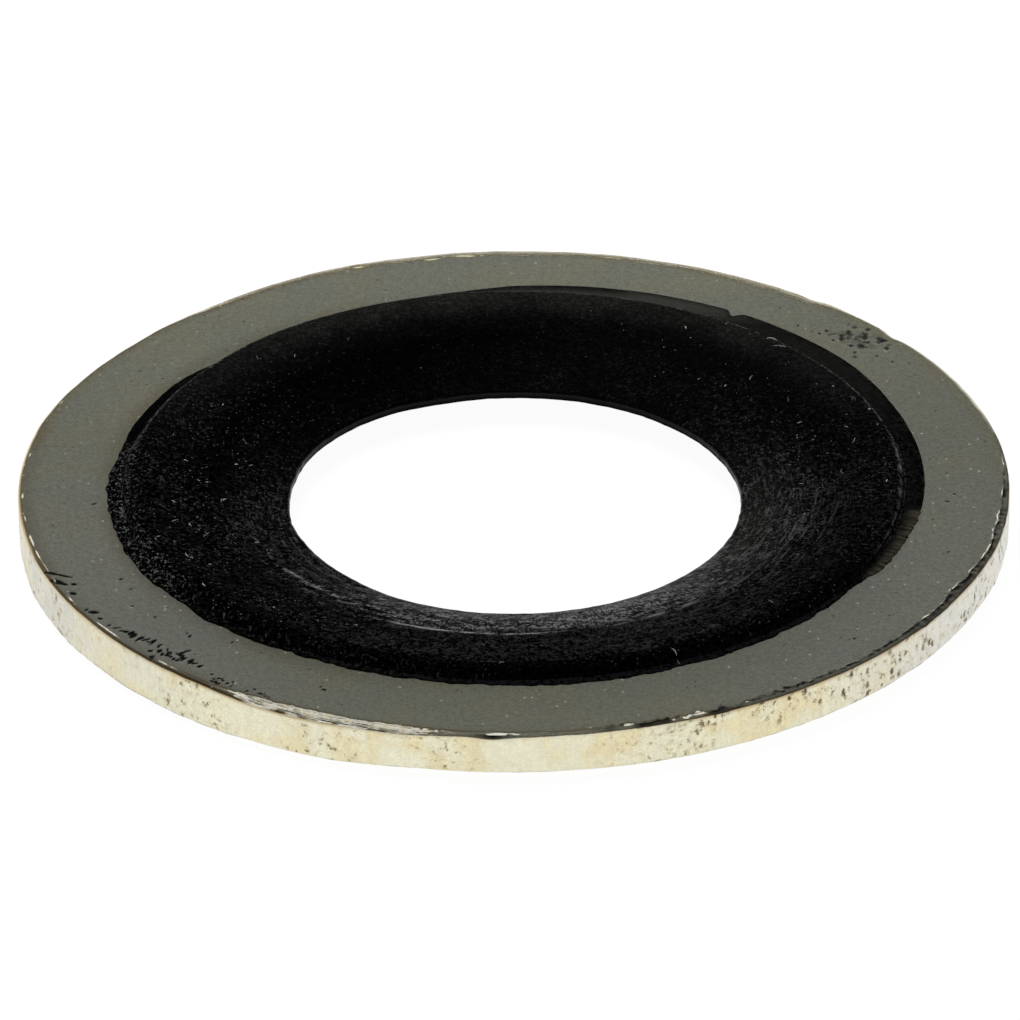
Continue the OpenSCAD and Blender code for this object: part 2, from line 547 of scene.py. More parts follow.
def washer_strokes(random):
    """The slashes, nicks, pits and smudge of the upper face."""
    strokes = [(on_ring(*start), on_ring(*stop), width, 1.0) for start, stop, width in SLASHES]
    for start, stop, count, spread, run, direction, width in NICK_TRAILS:
        for along in np.linspace(0, 1, count):
            spreads = zip(start, stop, (NICK_SPREAD, spread))
            place = [a + (b - a) * along + random.normal(0, s) for a, b, s in spreads]
            half_run = on_ring(direction + random.normal(0, NICK_TURN), run * random.uniform(0.12, 0.5))
            middle = on_ring(*place)
            strokes.append((middle - half_run, middle + half_run, width * random.uniform(0.4, 1.1), 1.0))
    for middle, count, spread, dark, size in SMUDGES:
        for dot in on_ring(*middle) + random.normal(0, spread, (count, 2)):
            width = random.uniform(0.055, 0.11) * size
            end = dot + (0, random.uniform(0.06, 0.16))
            strokes.append((dot, end, width, dark * random.uniform(0.6, 1.1)))
    middles = [on_ring(*place) for place in PITS]
    return strokes + [(middle, middle + PIT_RUN, PIT_WIDTH, 1.0) for middle in middles]


def washer_section(washer, rim):
    """Rows of radius and height on each stretch of the section: face, roll, edge and foot."""
    hole = washer.hole_radius / MM
    inner = np.concatenate([[hole, UNDER_RUBBER], np.linspace(PLAIN_FROM, MARKED_FROM, PLAIN_ROWS)])
    along = np.linspace(0, 1, MARKED_ROWS + 1)[1:, None]
    marked = MARKED_FROM + (rim.face_end - MARKED_FROM) * along
    face_r = np.vstack([inner[:, None] + 0 * rim.theta, marked])
    face = face_r, np.full_like(face_r, rim.thick)

    shapes = zip((ROLLED, BURRED, STEPPED), (1 - rim.burred - rim.near_left, rim.burred, rim.near_left))
    shape = sum(np.array(points)[:, :, None] * weight for points, weight in shapes)
    roll = rim.face_end + rim.roll_w * shape[:, 0], rim.thick - rim.roll_d * shape[:, 1]

    down = np.array(EDGE_ROWS)[:, None]
    torn = np.linspace(0, 1, TORN_ROWS + 1)[1:, None]
    edge_z = (rim.thick - rim.roll_d) * (1 - down) + rim.tear * down
    tear_z = rim.tear * (1 - torn) + (0.012 + rim.chip - rim.burr) * torn
    tear_r = rim.edge - washer.tear_in / MM * torn**1.5 * (1 - rim.sector(190, 250, 14))
    edge = np.vstack([rim.edge + 0 * edge_z, tear_r]), np.vstack([edge_z, tear_z])

    foot_r = np.minimum(tear_r[-1], rim.outer) - np.array(FOOT_ROWS)[:, None]
    foot_r[-1] = hole
    return face, roll, edge, (foot_r, -rim.burr * np.array(FOOT_BURR)[:, None])


def rim_dirt(rim, radius, angles, roll, on_top):
    """Painted shade along the rim: black on the rolled rows and along the outer corner, where the rim would
    mirror the dim room; `roll` picks the rolled rows.
    """
    held = np.outer(BURRED_SHADE, rim.burred * rim.patchy)
    held += np.outer(STEPPED_SHADE, rim.near_left * (1 - rim.dashes))
    mottled = np.clip(0.85 + 0.8 * grain(radius, angles, 0.1, 25)[roll], 0.4, 1.1)
    lined = np.outer(LINED_SHADE, np.clip(rim.near_right - rim.burred, 0, 1)) * mottled
    lined[3:] *= 1 - 0.5 * rim.thin
    dirt = np.zeros(radius.shape)
    dirt[roll] = np.clip(np.maximum(held + lined, np.outer(NICK_SHADE, rim.nick)), 0, 1)
    spread = np.clip(1.8 * grain(radius, angles, 0.08, 23) + 0.2, 0, 1) * hump(radius, rim.face_end, 0.03)
    outlined = 0.8 * rim.sector(360, 374, 4) + 0.7 * rim.sector(198, 240, 6)
    outlined = hump(radius, rim.edge - 0.025, 0.03) * outlined
    return np.maximum.reduce([dirt, spread * rim.sector(282, 322, 3) * on_top, outlined * on_top])


def rim_glint(rim, radius, angles, roll, on_top):
    """Painted glints along the rim: pale patches that stand in for the light that the rolled, burred and
    scraped rim mirrors; `roll` picks the rolled rows.
    """
    rise = np.outer(BURRED_RISE, rim.burred * 1.6 * (1 - rim.patchy))
    rise += np.outer(NICK_RISE, 1.8 * rim.sector(267.2, 270, 0.8))
    stepped = np.outer(STEPPED_RISE, rim.near_left) + np.outer(STEPPED_DASH, rim.near_left * rim.dashes)
    scraped = np.clip(0.9 + 0.7 * streaks(radius, angles, 260, 0.03, 26)[roll], 0.5, 1.4)
    glint = np.zeros(radius.shape)
    glinting = np.clip(0.65 + 0.9 * grain(radius, angles, 0.16, 15)[roll], 0, 1)
    glint[roll] = rise * glinting + stepped * scraped
    far = rim.spot(109, 0.9) + rim.sector(94, 100, 1.5) + 0.6 * rim.sector(75, 79, 1.5)
    left = 0.85 * rim.sector(160, 224, 8)
    near = 0.5 * rim.sector(271, 280, 2) + 0.85 * rim.sector(327, 367, 4)
    lines = [
        hump(radius, rim.face_end + 0.03, 0.05) * far * rim.patches(0.3, 16, 0.6, 1.5),
        hump(radius, rim.face_end - 0.04, 0.035) * left * rim.patches(0.3, 17, 0.5, 1.5),
        hump(radius, rim.face_end - 0.005, 0.03) * near * rim.patches(0.25, 24, 0.45, 1.1),
    ]
    return np.maximum.reduce([glint, *(line * on_top for line in lines)])


def rim_stain(rim, radius, height, on_top, on_edge):
    """Brown and golden stain along the rim's corner."""
    below = (rim.thick - rim.roll_d - height) * on_edge + (1 - on_edge)
    off = np.where(on_top == 1, rim.edge - radius, below)
    corner = hump(off, 0, 0.055 + 0.03 * rim.sector(118, 200, 10))
    corner = corner * np.clip(rim.sector(118, 244, 10) + 0.7 * rim.sector(-66, 118, 10) + 0.3, 0, 1)
    lines = [
        0.85 * hump(radius, rim.face_end + 0.06, 0.05) * rim.sector(122, 196, 8),
        0.4 * rim.far * ramp(radius, rim.face_end, 0.05),
        0.7 * hump(radius, rim.face_end - 0.03, 0.035) * rim.sector(225, 300, 5),
    ]
    return np.maximum.reduce([corner, *(line * on_top for line in lines)])


def washer_surface(washer, rim, random):
    """Radius and height of the washer's rows, from the hole over the top to the foot, and their masks."""
    stretches = washer_section(washer, rim)
    radius, height = (np.vstack(rows) for rows in zip(*stretches))
    face_rows, roll_rows, edge_rows = (len(rows[0]) for rows in stretches[:3])
    top_rows = face_rows + roll_rows
    roll = slice(face_rows, top_rows)
    angles = np.broadcast_to(rim.theta, radius.shape)
    on_top, on_edge = np.zeros(radius.shape), np.zeros(radius.shape)
    on_top[:top_rows] = 1
    on_edge[top_rows : top_rows + edge_rows] = 1

    rough = plane_noise(angles * rim.outer / 0.2, height / 0.16, 8)
    torn = np.clip((rim.tear - height) / 0.1, 0, 1) * on_edge
    radius = radius + on_edge * (0.003 * rim.grain(0.2, 6) + (0.003 + 0.008 * torn) * rough)
    dents = np.clip(rim.grain(0.5, 10) - 0.3, 0, 1) * (0.3 + 0.7 * rim.near_right)
    height = height - 0.05 * dents * hump(radius, rim.edge, 0.07) * on_top
    marks = stroke_mask(radius * np.cos(angles), radius * np.sin(angles), washer_strokes(random)) * on_top
    height = height - 0.012 * marks + 0.002 * on_top * grain(radius, angles, 0.9, 11)

    streaked = np.clip(rim.near_right + rim.near_left + rim.far, 0, 1)
    masks = {
        "edge": on_edge,
        "smut": marks,
        "scuff": streaked * ramp(radius, rim.face_end - 0.06, 0.05) * on_top,
        "corner": rim_stain(rim, radius, height, on_top, on_edge),
        "dark_rim": rim_dirt(rim, radius, angles, roll, on_top),
        "glint": rim_glint(rim, radius, angles, roll, on_top),
    }
    return radius, height, masks


def plating_patterns(finish):
    """The masks, places and noises that the plating's colour, gloss and grain share."""
    at = SimpleNamespace(**{name: finish.mask(name) for name in WASHER_MASKS})
    at.on_face = 1 - at.edge
    point = finish.place()
    at.x, at.y, z = finish.split(point)
    x, y = at.x, at.y
    at.radius = (x * x + y * y).root()
    at.pebble = finish.noise(point, 8.0, 3.0, 0.65)
    at.fine = finish.noise(point, 23.0, 2.0, 0.6)
    at.cloud = finish.noise(point, 0.45, 3.0, 0.55)
    at.patch = finish.noise(point, 0.8, 2.5, 0.55)
    along = finish.join(x / at.radius * 15.0, y / at.radius * 15.0, at.radius * 22.0 + z * 22.0)
    at.lines = finish.noise(along, 1.0, 3.0, 0.65)
    at.streak = finish.noise(finish.join(x * 5.0, y * 5.0, z * 0.8), 1.0, 3.0, 0.6)

    spot, pick = finish.cells(point, 5.0)
    speck = (1 - finish.fade(spot, 0.1, 0.24)) * at.on_face
    at.dusty = speck * (pick < 0.16)
    pitted = finish.noise(point, 5.0, 3.0, 0.65)
    crowded = finish.noise(point, 0.7, 1.0)
    crowded = crowded + 0.18 * finish.fade(x, 1.0, 6.0) + 0.1 * finish.fade(x, -5.0, -9.0)
    hole, drawn = finish.cells(finish.join(x + 0.25 * pitted, y + 0.25 * at.fine, z * 0.6), 5.0)
    hole = (1 - finish.fade(hole, 0.2, 0.42)) * finish.fade(drawn, 0.44, 0.5)
    hole = hole * finish.fade(crowded, 0.5, 0.62) * at.edge
    hole = hole * finish.fade(x, 3.0, 5.0) * finish.fade(y, 7.0, 1.0, 0.3, 1.0)
    at.pit = (finish.fade(pitted, 0.58, 0.7) * finish.fade(crowded, 0.45, 0.7) * at.edge).most(hole)
    at.halo = finish.fade(pitted, 0.48, 0.62) * finish.fade(crowded, 0.42, 0.65) * at.edge
    at.dirt = finish.fade(at.smut, 0.08, 0.9).most(speck * (pick > 0.95) * 0.6)
    # The painted shade along the rim joins the real smut and dark specks here
    at.dirt = at.dirt.most(at.dark_rim * finish.fade(at.lines, 0.3, 0.55, 0.85, 1.0))
    # Painted glints: where the glint mask is high the plating turns pale and less metallic, standing in for
    # the light the rim mirrors
    at.bright = finish.fade(at.glint * finish.fade(at.lines, 0.38, 0.52, 0.2, 1.0), 0.25, 0.7)
    return at


def plating_shade(finish, washer, at):
    """Colour of the plating, from the passivate to the stains, pits and smut on it, with the painted shade
    and painted glints along the rim.
    """
    x, y = at.x, at.y
    face = finish.coats(
        opaque(washer.face_colour),
        (finish.fade(at.cloud, 0.42, 0.6), WARM_FACE),
        (finish.fade(at.radius, 11.85, 12.1) * at.on_face * finish.fade(y, -2.0, 6.0) * 0.6, RIM_FACE),
        (finish.fade(abs(x), 3.0, 8.0) * finish.fade(y, 3.0, -4.0) * 0.6, COOL_FACE),
    )
    pale = finish.fade(abs(x), 7.0, 11.8) * finish.fade(at.patch, 0.35, 0.6, 1.0, 0.5)
    side = finish.coats(
        opaque(washer.edge_colour),
        (finish.fade(at.patch, 0.47, 0.62), washer.gold_colour),
        (pale, washer.pale_colour),
        (finish.fade(x, 7.0, 11.8) * 0.7, WHITE_EDGE),
    )
    grained = 0.7 * (at.pebble - 0.5) + 0.9 * (at.fine - 0.5)
    tone = 1 + grained * (1 - 0.5 * at.edge) + at.edge * (at.streak - 0.5) * 0.18
    # Painted light: the face lighter towards the back and darker on the right; the edge is also made a little
    # darker, more so towards the right
    lift = 0.07 + 0.02 * finish.fade(y, -11.0, 0.0) + 0.1 * finish.fade(y, 2.0, 8.0)
    lift = lift + 0.09 * finish.fade(y, 8.0, 11.5)
    lift = lift - 0.06 * finish.fade(x, 4.0, 10.0) * finish.fade(y, -8.0, 4.0)
    tone = tone * (1 + at.on_face * lift - at.edge * (0.03 + 0.03 * finish.fade(x, 5.0, 11.0)))

    left = finish.fade(x, 2.0, -8.0)
    beside_rubber = finish.fade(at.radius, 10.6, 9.95) * left * at.on_face
    along_rim = finish.fade(at.radius, 11.75, 12.2) * at.on_face * (0.35 + 0.65 * left)
    stain = (beside_rubber * 0.35 + along_rim * 0.3) * finish.fade(at.cloud, 0.3, 0.6, 0.4, 1.0)
    stain = (stain + at.corner * 0.75).least(1.0)
    gilded = at.corner * finish.fade(x, -8.0, -11.0)
    brown = finish.coats(opaque(washer.stain_colour), (gilded, GOLD_STAIN))
    # The painted glints are gold at the back and in streaks, and pale elsewhere
    golden = finish.fade(y, 0.0, 6.0).most(finish.fade(at.streak, 0.5, 0.6) * 0.7)
    glinting = finish.coats(opaque(washer.painted_glint_colour), (golden, GOLD_GLINT))
    return finish.coats(
        finish.toned(finish.mix(at.edge, face, side), tone),
        (stain, brown),
        (at.dusty * 0.7, DUST_SPECK),
        (at.halo * 0.45, PIT_HALO),
        (at.pit * 0.95, PIT_FLOOR),
        (at.dirt, washer.smut_and_shade_colour),
        (at.bright, glinting),
    )


def plating_finish(washer):
    """Zinc plate with a pale yellow passivate, stained along the rim and black in its nicks, with painted
    glints and painted shade along the rim.
    """
    material = bpy.data.materials.new("yellow_zinc_plate")
    finish = Finish(material)
    at = plating_patterns(finish)
    relief = at.pebble + at.fine * 0.35 + at.scuff * at.lines * 2.5 - at.pit * 1.5
    sockets = {
        "Base Color": plating_shade(finish, washer, at),
        "Metallic": washer.metal - at.bright * 0.75 - at.dusty * 0.22,
        "Roughness": washer.roughness + 0.12 * (at.pebble - 0.5) + at.dirt * 0.3 - at.scuff * 0.1,
        "Normal": finish.bump(relief, PLATING_GRAIN * MM),
    }
    finish.surface(finish.node("ShaderNodeBsdfPrincipled", None, sockets))
    return material


class GASKET_OT_washer(bpy.types.Operator):
    """Makes the blanked and plated steel washer"""

    bl_idname = "gasket.washer"
    bl_label = "Steel Washer"

    def execute(self, context):
        washer = context.scene.gasket_washer
        theta = turns(WASHER_COLUMNS, WORN_SECTORS)
        random = np.random.default_rng(WASHER_SEED)
        radius, height, masks = washer_surface(washer, WasherRim(washer, theta), random)
        rows = radius, height + washer.low / MM
        piece = ring_piece("steel_washer_plated", rows, theta, plating_finish(washer), masks)
        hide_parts("steel_washer")
        return {"FINISHED"}


# Seal

SEAL_COLUMNS = 890
SEAL_MASKS = ("flash", "skirt", "gritty", "thin", "sheen", "edge_line", "nose", "crease", "matt_rim")
# Each half: rows on the corner, on lip and dish, on the land and on the shoulder; rows of the flash, by
# their share of its reach and of its thickness; the seed of its noise; and whether it is the upper one
UPPER = SimpleNamespace(
    rows=(6, 65, 4, 9),
    flash=[(0.12, 1.2), (0.35, 1.0), (0.65, 0.95), (0.88, 0.85), (0.98, 0.5), (1.0, 0.0)],
    seed=60,
    upper=True,
)
LOWER = SimpleNamespace(rows=(3, 8, 1, 3), flash=[(0.6, 1.0), (1.0, 0.0)], seed=80, upper=False)
# Flash on the upper face: angles in degrees, and how far it reaches past the bead there
FLASH_REACH = [
    (0, 0.51), (15, 0.57), (24, 0.62), (35, 0.76), (55, 0.82), (70, 0.79), (80, 0.73), (90, 0.61), (97, 0.42),
    (105, 0.31), (120, 0.18), (140, 0.11), (146, 0.27), (170, 0.29), (180, 0.37), (205, 0.35), (215, 0.22),
    (222, 0.29), (240, 0.16), (255, 0.13), (285, 0.22), (320, 0.14), (329, 0.11), (335, 0.32), (350, 0.46),
]
LEAST_FLASH = 0.03
# Steps of the dish's slope between two rows
DISH_STEPS = 20

# Greys of the rubber, with painted highlights, painted light and painted shade among them
PORE, POWDER_AND_SHEEN, LIP_HIGHLIGHT = (0.0003, 0.0003, 0.0004), (0.021, 0.021, 0.0185), (0.06, 0.06, 0.058)
SWIRL, VEIL, BLOOM = (0.04, 0.04, 0.038), (0.012, 0.012, 0.0105), (0.042, 0.042, 0.044)
CREASE_HIGHLIGHT, SHEEN, OUTLINE = (0.3, 0.3, 0.29), (0.09, 0.09, 0.085), (0.0008, 0.0008, 0.0008)
FLASH_GRAIN, FLASH_SIDE = (0.004, 0.004, 0.0039), (0.0085, 0.0085, 0.0074)
FLASH_BACK, SKIRT, GRIT_SPARKLE = (0.045, 0.045, 0.039), (0.0065, 0.0068, 0.0075), (0.11, 0.11, 0.11)
# Sizes of dust: how close together, how large, and how rare
DUST_SIZES = [(4.5, 0.17, 0.95), (8.0, 0.26, 0.945), (13.0, 0.36, 0.93)]
RUBBER_GRAIN = 0.011


def arc_points(centre, radius, start, stop, count):
    """Points on a circle's arc, with both ends, in degrees."""
    turn = np.radians(np.linspace(start, stop, count))
    return np.column_stack([centre[0] + radius * np.cos(turn), centre[1] + radius * np.sin(turn)])


def dish_points(a, b, steep, root, count):
    """Points after a, up to and with b: a lip that flattens outwards, then eases into the dish."""
    radius = np.linspace(a[0], b[0], DISH_STEPS * count + 1)
    lip = steep * (1 - 0.12 * np.clip((radius - a[0]) / (root - a[0]), 0, 1) ** 0.7)
    change = eased(ramp(radius, root - 0.3, 0.6))
    step = radius[1] - radius[0]
    flat = (b[1] - a[1] - step * np.sum((lip * (1 - change))[1:])) / (step * np.sum(change[1:]))
    height = a[1] + np.cumsum(np.append(0, (lip + (flat - lip) * change)[1:])) * step
    return np.column_stack([radius, height])[DISH_STEPS::DISH_STEPS]


def seal_section(seal, hole, half, rows):
    """Half of the seal's section from the bore to the bead's foot, over the middle plane."""
    corner_rows, dish_rows, land_rows, shoulder_rows = rows
    bore, corner, nose_top = seal.bore_radius / MM, seal.lip_corner / MM, seal.lip_thickness / MM / 2
    shoulder, top = seal.shoulder_radius / MM, half + seal.crest_height / MM
    land_out = hole + (seal.lap - seal.shoulder_radius) / MM
    land_in = land_out - seal.land_width / MM
    nose_end = 90 + math.degrees(seal.lip_slope)
    nose = arc_points((bore + corner, nose_top - corner), corner, 180, nose_end, corner_rows)
    root = bore + seal.lip_width / MM
    dish = dish_points(nose[-1], (land_in, top), math.tan(seal.lip_slope), root, dish_rows)
    land_r = np.linspace(land_in, land_out, land_rows + 1)[1:]
    land = np.column_stack([land_r, np.full_like(land_r, top)])
    bead = arc_points((land_out, top - shoulder), shoulder, 90, 0, shoulder_rows + 1)[1:]
    return np.vstack([nose, dish, land, bead])


def creased(theta):
    """Where the crease between lip and dish shows."""
    near = sector(theta, 247, 264, 3) + 0.8 * sector(theta, 269, 278, 2)
    return near + 0.45 * sector(theta, 290, 306, 4) + 0.12 * sector(theta, 327, 344, 4)


def seal_relief(radius, theta, root, bead, seed):
    """How far the moulded surface stands out of the plain section."""
    outer = ramp(radius, root - 0.2, 0.6)
    rough = 0.1 + 0.1 * outer + ramp(radius, bead - 0.5, 0.2) * sector(theta, 170, 330, 20)
    wavy = 0.006 * grain(radius, theta, 1.9, seed) + 0.003 * grain(radius, theta, 0.6, seed + 1)
    gritty = 0.004 * grain(radius, theta, 0.19, seed + 2) + 0.003 * grain(radius, theta, 0.12, seed + 3)
    dimpled = 0.003 * (0.5 + 0.5 * rough) * grain(radius, theta, 0.33, seed + 6)
    drawn = (1 - outer) * sector(theta, 300, 350, 12) * streaks(radius, theta, 60, 0.13, seed + 4)
    wrinkled = hump(radius, 6.9, 0.45) * sector(theta, 196, 243, 12)
    wrinkled = wrinkled * streaks(radius, theta, 130, 0.16, seed + 5)
    ridge = hump(radius, root + 0.05, 0.06) * creased(theta) * (1 + grain(radius, theta, 0.25, seed + 7))
    return wavy + rough * gritty + dimpled + 0.0015 * drawn + 0.012 * wrinkled + 0.0025 * ridge


def moulded_rows(seal, section, theta, side):
    """The section carried around, with its relief, its uneven bore and the bead that draws in."""
    bore, root, bead = seal.bore_radius / MM, (seal.bore_radius + seal.lip_width) / MM, section[-1, 0]
    tangent = np.gradient(section, axis=0)
    normal = np.column_stack([-tangent[:, 1], tangent[:, 0]]) / np.linalg.norm(tangent, axis=1)[:, None]
    radius = np.broadcast_to(section[:, :1], (len(section), len(theta)))
    angles = np.broadcast_to(theta, radius.shape)
    relief = seal_relief(radius, angles, root, bead, side.seed) * np.clip((radius - bore) / 0.25, 0.1, 1)
    shift = 0.11 * sector(theta, 126, 148, 22) - 0.06 * sector(theta, 208, 226, 16)
    shift = shift + 0.045 * np.cos(theta) - 0.03
    shift = shift + 0.012 * grain(radius, angles, 0.8, 55) + 0.011 * grain(radius, angles, 0.2, 56)
    to_bore = np.clip((root - radius) / (root - bore), 0, 1)
    drawn_in = 0.065 * sector(theta, 140, 163, 10) * ramp(radius, 8.6, 0.6) * side.upper
    surface_r = radius + relief * normal[:, :1] + shift * to_bore**1.5 - drawn_in
    return surface_r, section[:, 1:] + relief * normal[:, 1:]


def flash_edge(seal, bead, side):
    """Radius of the flash's edge around the bead, and how frayed it is."""
    seed = side.seed + 40
    if not side.upper:
        reach = bead.radius + 0.2 + 0.05 * bead.grain(1.2, seed) + 0.03 * bead.grain(0.3, seed)
        return reach, 0 * bead.theta
    toothed, frayed = bead.sector(166, 250, 8), bead.sector(332, 351, 2)
    width = np.interp(bead.degrees, *zip(*FLASH_REACH), period=360) * seal.flash_share
    width += (0.006 + 0.04 * toothed) * bead.grain(0.62, seed)
    width += (0.004 + 0.03 * toothed) * bead.grain(0.21, seed + 1)
    width += 0.04 * bead.sector(238, 330, 5) * bead.grain(0.3, seed + 2)
    width += 0.03 * bead.sector(236, 332, 5) * bead.grain(0.1, seed + 4)
    width += 0.035 * frayed * bead.grain(0.08, seed + 3) - 0.24 * bead.spot(57.3, 0.8)
    return bead.radius + np.maximum(width, LEAST_FLASH), frayed


def seal_masks(seal, section, whole_r, out, frayed, theta, side):
    """Masks for the rubber's finish; `out` is each flash row's share of its reach."""
    bore, root, bead = seal.bore_radius / MM, (seal.bore_radius + seal.lip_width) / MM, section[-1, 0]
    masks = {name: np.zeros(whole_r.shape) for name in SEAL_MASKS}
    moulded, flash = slice(0, len(section)), slice(len(section), len(section) + len(out))
    radius = np.broadcast_to(section[:, :1], (len(section), len(theta)))
    angles = np.broadcast_to(theta, radius.shape)
    shiny = sector(theta, -4, 36, 6) + 0.5 * sector(theta, 34, 92, 8) + sector(theta, 136, 170, 5)
    shiny = np.clip(shiny, 0, 1) * np.clip(0.5 + grain(radius, angles, 0.3, side.seed + 30), 0, 1)
    # Painted highlight: a grey strip for the sheen along the bead's shoulder, where the grain is also
    # smoothed
    masks["sheen"][moulded] = hump(radius, bead - 0.08, 0.05) * shiny
    # Painted shade on the bore's nose: full on the lower half, half on the upper
    masks["nose"][moulded] = np.clip(1 - (radius - bore - 0.04) / 0.05, 0, 1) * (0.5 if side.upper else 1)
    # Painted highlight: a bright line along the crease between lip and dish
    masks["crease"][moulded] = creased(angles) * hump(radius, root + 0.02, 0.045)
    rim = ramp(whole_r[:-1], bead - 0.3, 0.15) * side.upper
    # Grit at the left of the bead's rim; its tips take a painted highlight
    masks["gritty"][:-1] = rim * (sector(theta, 174, 206, 12) + 0.12 * sector(theta, 206, 250, 14))
    masks["matt_rim"][:-1] = rim * sector(theta, 155, 335, 12)
    masks["flash"][flash] = 1
    # Painted light: the near side of the flash, as lit from the front
    masks["skirt"][flash] = sector(theta, 243, 322, 8)
    masks["thin"][flash] = frayed * ramp(out, 0.2, 0.6)
    line = ramp(out, 0.8, 0.15) * sector(theta, -4, 112, 6) + sector(theta, 134, 165, 5)
    masks["edge_line"][flash] = np.maximum(line, ramp(out, 0.45, 0.3) * sector(theta, 76, 112, 6))
    return masks


def seal_half(seal, washer, theta, side):
    """Rows of half of the seal, from the bore to the bond, over the middle plane, with their masks."""
    hole, half = washer.hole_radius / MM, (washer.high - washer.low) / MM / 2
    section = seal_section(seal, hole, half, side.rows)
    surface_r, surface_h = moulded_rows(seal, section, theta, side)
    bead = Circle(theta, section[-1, 0])
    reach, frayed = flash_edge(seal, bead, side)
    out, level = (np.array(column)[:, None] for column in zip(*side.flash))
    flash_r = bead.radius + (reach - bead.radius) * out
    lumpy = 1 + 0.5 * bead.sector(146, 250, 6) * (1 + grain(flash_r, theta, 0.2, side.seed + 50))
    flash_h = half + seal.flash_thickness / MM * level * lumpy
    whole_r = np.vstack([surface_r, flash_r, np.full_like(theta, hole)])
    whole_h = np.vstack([surface_h, flash_h, np.full_like(theta, half)])
    return whole_r, whole_h, seal_masks(seal, section, whole_r, out, frayed, theta, side)


def middle_height(washer):
    """Height of the plane between the washer's faces."""
    return (washer.high + washer.low) / MM / 2


def rubber_patterns(finish, seal):
    """The masks, places and noises that the rubber's colour, gloss and grain share."""
    at = SimpleNamespace(**{name: finish.mask(name) for name in SEAL_MASKS})
    at.point = finish.place()
    at.x, at.y, _ = finish.split(at.point)
    at.radius = (at.x * at.x + at.y * at.y).root()
    at.bore, root = seal.bore_radius / MM, (seal.bore_radius + seal.lip_width) / MM
    at.inner = finish.fade(at.radius, at.bore, root + 0.6, 1.0, 0.0)
    at.lip = finish.fade(at.radius, root - 0.4, root + 0.4, 1.0, 0.0)
    at.right = finish.fade(at.x, 1.0, 4.0) * finish.fade(at.y, 1.5, -1.5)
    at.far = finish.fade(at.y, 0.0, 6.0)
    at.bare = finish.fade(at.x, 2.0, 6.0) * finish.fade(at.radius, 7.2, 8.2)

    def ringed(along, across, detail, roughness):
        """Noise along the ring: how fine it is along it and across it."""
        turned = finish.join(at.x / at.radius * along, at.y / at.radius * along, at.radius * across)
        return finish.noise(turned, 1.0, detail, roughness)

    at.grit = finish.noise(at.point, 8.5, 2.5, 0.6)
    at.pores = finish.noise(at.point, 20.0, 1.5, 0.5)
    at.peel = finish.noise(at.point, 3.4, 1.0, 0.45)
    at.cloud = finish.noise(at.point, 0.9, 3.0, 0.55)
    at.streak = ringed(11.0, 12.0, 3.5, 0.65)
    at.rays = ringed(130.0, 2.0, 2.0, 0.6)
    at.speckle = finish.fade(ringed(105.0, 7.5, 1.5, 0.5) + 0.5 * (at.peel - 0.5), 0.43, 0.6)
    at.worn = at.streak + 0.3 * (at.pores - 0.5)
    mottle = finish.fade(at.grit + 0.6 * (at.pores - 0.5), 0.4, 0.68)
    at.mottle = mottle + (0.42 + 0.5 * (at.cloud - 0.5) - mottle) * at.far * 0.6
    return at


def rubber_dust(finish, at):
    """Pale dust in the rubber's grain, of a few sizes."""
    dust = 0
    for scale, size, rare in DUST_SIZES:
        spot, pick = finish.cells(at.point, scale, True)
        dust = ((1 - finish.fade(spot, 0.4 * size, size)) * finish.fade(pick, rare, 1.0)).most(dust)
    dust = dust * finish.fade(abs(at.x), 2.5, 7.0, 0.35, 1.0) * finish.fade(at.cloud, 0.3, 0.6, 0.3, 1.0)
    return dust * (1 - 0.7 * at.flash) * (1 - 0.6 * at.far) * (1 - 0.5 * at.bare)


